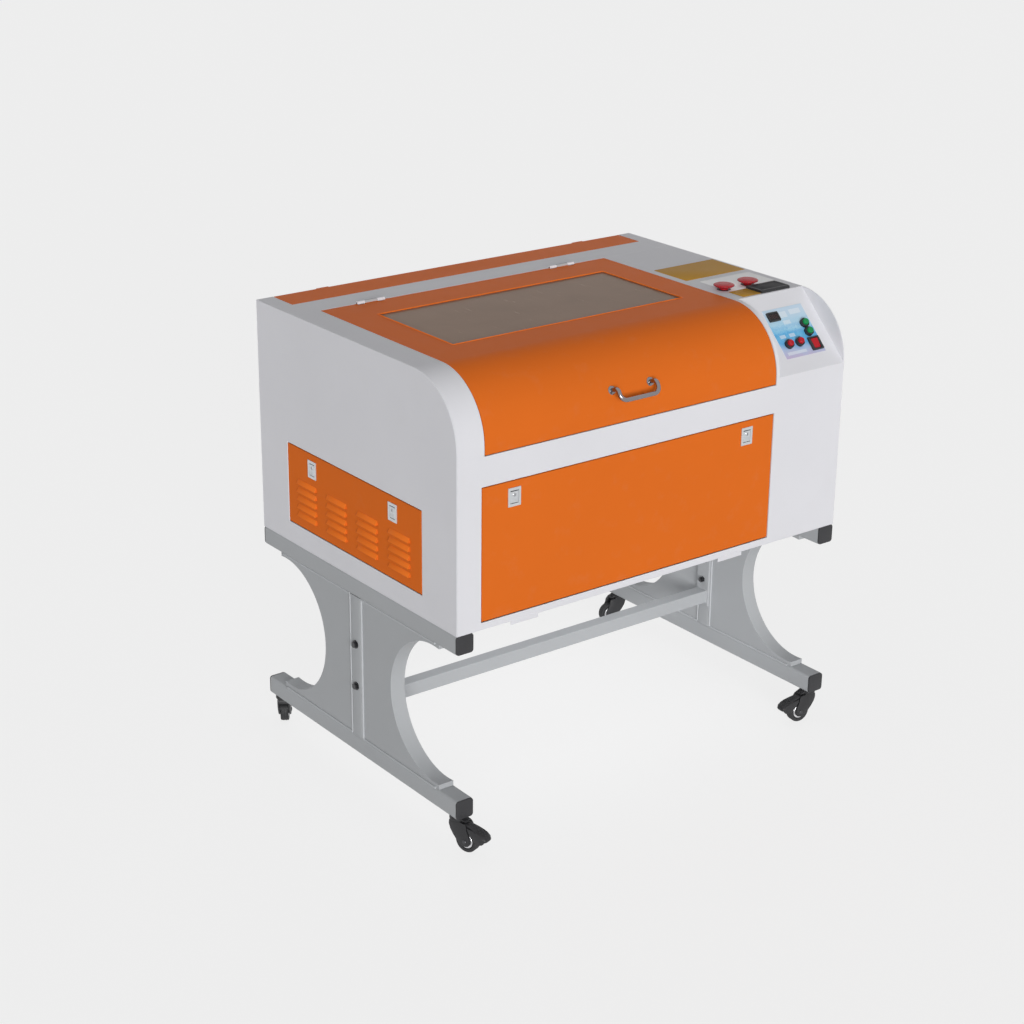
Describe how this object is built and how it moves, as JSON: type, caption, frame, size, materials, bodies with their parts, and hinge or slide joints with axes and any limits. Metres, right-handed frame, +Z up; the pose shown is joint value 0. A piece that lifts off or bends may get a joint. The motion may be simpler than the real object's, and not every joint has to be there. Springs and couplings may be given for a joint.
{
  "type": "laser engraver",
  "caption": "Laser engraver on a castored tube stand: folded sheet cabinet with a rounded lifting lid and window, front and vent doors, control shoulder, gantry, head and tube.",
  "frame": {"origin": "on the floor, under the middle of the cabinet's plan", "axes": "+X to the operator's right, +Y from the operator to the back, +Z up"},
  "size_m": [1.014, 0.786, 0.9825],
  "materials": {
    "white_paint": "satin powder coat, off-white",
    "chamber_paint": "satin powder coat inside the chamber",
    "orange_paint": "satin powder coat, orange",
    "grey_paint": "satin powder coat, mid grey",
    "black_plastic": "moulded black plastic",
    "tyre_rubber": "black tread with a grey hub",
    "dark_steel": "blackened steel",
    "chrome": "polished plate",
    "window_acrylic": "smoked brown acrylic",
    "overlay_film": "plain pale blue film",
    "red_plastic": "moulded red plastic",
    "green_plastic": "moulded green plastic",
    "aluminium": "natural aluminium",
    "black_motor": "black painted motor cases",
    "bright_steel": "ground steel",
    "belt_rubber": "toothed belt, drawn smooth",
    "tube_glass": "clear glass"
  },
  "bodies": {
    "cabinet": {"stand_left_frame": "grey_paint", "stand_right_frame": "grey_paint", "stand_gussets": "grey_paint", "cross_beam": "grey_paint", "beam_bolts": "dark_steel", "tube_end_caps": "black_plastic", "base_pan": "white_paint", "left_side_panel": "white_paint", "right_side_panel": "white_paint", "back_panel": "white_paint", "cabinet_skin": "white_paint", "control_fascia": "white_paint", "chamber_walls": "chamber_paint", "control_overlay": "overlay_film", "panel_meters": "black_plastic", "control_bezels": "black_plastic", "y_rails": "aluminium", "y_motor": "black_motor", "y_belts": "belt_rubber", "laser_tube": "tube_glass", "tube_holders": "black_plastic", "power_and_control": "aluminium", "rear_fittings": "aluminium", "hinge_pins": "dark_steel", "bed_frame": "grey_paint", "honeycomb_bed": "aluminium"},
    "lid": {"lid_shell": "orange_paint", "lid_window": "window_acrylic", "lid_handle": "chrome"},
    "rear_cover": {"rear_cover": "orange_paint"},
    "front_door": {"front_door": "orange_paint", "front_latch_bodies": "chrome"},
    "vent_door": {"vent_door": "orange_paint", "vent_latch_bodies": "chrome"},
    "front_latch_left": {"front_latch_left": "chrome"},
    "front_latch_right": {"front_latch_right": "chrome"},
    "vent_latch_front": {"vent_latch_front": "chrome"},
    "vent_latch_rear": {"vent_latch_rear": "chrome"},
    "start_button": {"start_button": "green_plastic"},
    "pause_button": {"pause_button": "green_plastic"},
    "red_button_left": {"red_button_left": "red_plastic"},
    "red_button_right": {"red_button_right": "red_plastic"},
    "rocker_switch": {"rocker_switch": "red_plastic"},
    "emergency_stop": {"emergency_stop": "red_plastic"},
    "laser_stop": {"laser_stop": "red_plastic"},
    "gantry": {"gantry_beam": "aluminium", "x_drive": "black_motor"},
    "x_motor_pulley": {"x_motor_pulley": "bright_steel"},
    "laser_head": {"laser_head": "aluminium"},
    "y_shaft": {"y_shaft": "bright_steel"},
    "caster_fl": {"caster_fork_fl": "black_plastic"},
    "wheel_fl": {"caster_wheel_fl": "tyre_rubber"},
    "pedal_fl": {"caster_pedal_fl": "black_plastic"},
    "caster_fr": {"caster_fork_fr": "black_plastic"},
    "wheel_fr": {"caster_wheel_fr": "tyre_rubber"},
    "pedal_fr": {"caster_pedal_fr": "black_plastic"},
    "caster_bl": {"caster_fork_bl": "black_plastic"},
    "wheel_bl": {"caster_wheel_bl": "tyre_rubber"},
    "caster_br": {"caster_fork_br": "black_plastic"},
    "wheel_br": {"caster_wheel_br": "tyre_rubber"}
  },
  "joints": [
    {"name": "lid_hinge", "type": "hinge", "parent": "cabinet", "child": "lid", "pos_m": [-0.0655, 0.20775, 0.971], "axis": [-1, 0, 0], "range_deg": [0, 65]},
    {"name": "rear_cover_hinge", "type": "hinge", "parent": "cabinet", "child": "rear_cover", "pos_m": [0.0045, 0.357, 0.964], "axis": [-1, 0, 0], "range_deg": [0, 100]},
    {"name": "front_door_hinge", "type": "hinge", "parent": "cabinet", "child": "front_door", "pos_m": [-0.0695, -0.349, 0.491], "axis": [1, 0, 0], "range_deg": [0, 95]},
    {"name": "vent_door_hinge", "type": "hinge", "parent": "cabinet", "child": "vent_door", "pos_m": [-0.496, 0.004, 0.522], "axis": [0, -1, 0], "range_deg": [0, 95]},
    {"name": "front_latch_left_turn", "type": "hinge", "parent": "front_door", "child": "front_latch_left", "pos_m": [-0.367, -0.3525, 0.7355], "axis": [1, 0, 0], "range_deg": [0, 18], "stiffness_Nm_per_rad": 0.05, "springref_deg": -5.73},
    {"name": "front_latch_right_turn", "type": "hinge", "parent": "front_door", "child": "front_latch_right", "pos_m": [0.228, -0.3525, 0.7355], "axis": [1, 0, 0], "range_deg": [0, 18], "stiffness_Nm_per_rad": 0.05, "springref_deg": -5.73},
    {"name": "vent_latch_front_turn", "type": "hinge", "parent": "vent_door", "child": "vent_latch_front", "pos_m": [-0.4995, -0.142, 0.667], "axis": [0, -1, 0], "range_deg": [0, 18], "stiffness_Nm_per_rad": 0.05, "springref_deg": -5.73},
    {"name": "vent_latch_rear_turn", "type": "hinge", "parent": "vent_door", "child": "vent_latch_rear", "pos_m": [-0.4995, 0.15, 0.667], "axis": [0, -1, 0], "range_deg": [0, 18], "stiffness_Nm_per_rad": 0.05, "springref_deg": -5.73},
    {"name": "start_button_push", "type": "slide", "parent": "cabinet", "child": "start_button", "axis": [0, 0.7071, -0.7071], "range_m": [0, 0.003], "stiffness_N_per_m": 300, "springref_m": -0.001},
    {"name": "pause_button_push", "type": "slide", "parent": "cabinet", "child": "pause_button", "axis": [0, 0.7071, -0.7071], "range_m": [0, 0.003], "stiffness_N_per_m": 300, "springref_m": -0.001},
    {"name": "red_button_left_push", "type": "slide", "parent": "cabinet", "child": "red_button_left", "axis": [0, 0.7071, -0.7071], "range_m": [0, 0.003], "stiffness_N_per_m": 300, "springref_m": -0.001},
    {"name": "red_button_right_push", "type": "slide", "parent": "cabinet", "child": "red_button_right", "axis": [0, 0.7071, -0.7071], "range_m": [0, 0.003], "stiffness_N_per_m": 300, "springref_m": -0.001},
    {"name": "rocker_turn", "type": "hinge", "parent": "cabinet", "child": "rocker_switch", "pos_m": [0.45, -0.31202, 0.87316], "axis": [-1, 0, 0], "range_deg": [0, 14]},
    {"name": "emergency_stop_push", "type": "slide", "parent": "cabinet", "child": "emergency_stop", "axis": [0, 0, -1], "range_m": [0, 0.0025], "stiffness_N_per_m": 800, "springref_m": -0.001},
    {"name": "laser_stop_push", "type": "slide", "parent": "cabinet", "child": "laser_stop", "axis": [0, 0, -1], "range_m": [0, 0.0025], "stiffness_N_per_m": 800, "springref_m": -0.001},
    {"name": "gantry_y", "type": "slide", "parent": "cabinet", "child": "gantry", "axis": [0, -1, 0], "range_m": [0, 0.398]},
    {"name": "head_x", "type": "slide", "parent": "gantry", "child": "laser_head", "axis": [1, 0, 0], "range_m": [0, 0.594]},
    {"name": "y_shaft_turn", "type": "hinge", "parent": "cabinet", "child": "y_shaft", "pos_m": [0, 0.1955, 0.8305], "axis": [1, 0, 0], "range_deg": [0, 2870]},
    {"name": "x_pulley_turn", "type": "hinge", "parent": "gantry", "child": "x_motor_pulley", "pos_m": [0.283, 0.1605, 0.9018], "axis": [0, 1, 0], "range_deg": [0, 4270]},
    {"name": "caster_fl_swivel", "type": "hinge", "parent": "cabinet", "child": "caster_fl", "pos_m": [-0.48, -0.329, 0.065], "axis": [0, 0, 1], "continuous": true},
    {"name": "wheel_fl_roll", "type": "hinge", "parent": "caster_fl", "child": "wheel_fl", "pos_m": [-0.47228, -0.35278, 0.025], "axis": [0.9511, 0.309, 0], "continuous": true},
    {"name": "pedal_fl_press", "type": "hinge", "parent": "caster_fl", "child": "pedal_fl", "pos_m": [-0.47228, -0.35278, 0.058], "axis": [0.9511, 0.309, 0], "range_deg": [0, 10]},
    {"name": "caster_fr_swivel", "type": "hinge", "parent": "cabinet", "child": "caster_fr", "pos_m": [0.48, -0.329, 0.065], "axis": [0, 0, 1], "continuous": true},
    {"name": "wheel_fr_roll", "type": "hinge", "parent": "caster_fr", "child": "wheel_fr", "pos_m": [0.45519, -0.32595, 0.025], "axis": [-0.1219, -0.9925, 0], "continuous": true},
    {"name": "pedal_fr_press", "type": "hinge", "parent": "caster_fr", "child": "pedal_fr", "pos_m": [0.45519, -0.32595, 0.058], "axis": [-0.1219, -0.9925, 0], "range_deg": [0, 10]},
    {"name": "caster_bl_swivel", "type": "hinge", "parent": "cabinet", "child": "caster_bl", "pos_m": [-0.48, 0.329, 0.065], "axis": [0, 0, 1], "continuous": true},
    {"name": "wheel_bl_roll", "type": "hinge", "parent": "caster_bl", "child": "wheel_bl", "pos_m": [-0.46566, 0.34948, 0.025], "axis": [-0.8192, 0.5736, 0], "continuous": true},
    {"name": "caster_br_swivel", "type": "hinge", "parent": "cabinet", "child": "caster_br", "pos_m": [0.48, 0.329, 0.065], "axis": [0, 0, 1], "continuous": true},
    {"name": "wheel_br_roll", "type": "hinge", "parent": "caster_br", "child": "wheel_br", "pos_m": [0.45555, 0.3342, 0.025], "axis": [-0.2079, -0.9781, 0], "continuous": true}
  ],
  "couplings": [
    {"joint": "y_shaft_turn", "follows": "gantry_y", "rad_per_m": 125},
    {"joint": "x_pulley_turn", "follows": "head_x", "rad_per_m": 125}
  ]
}
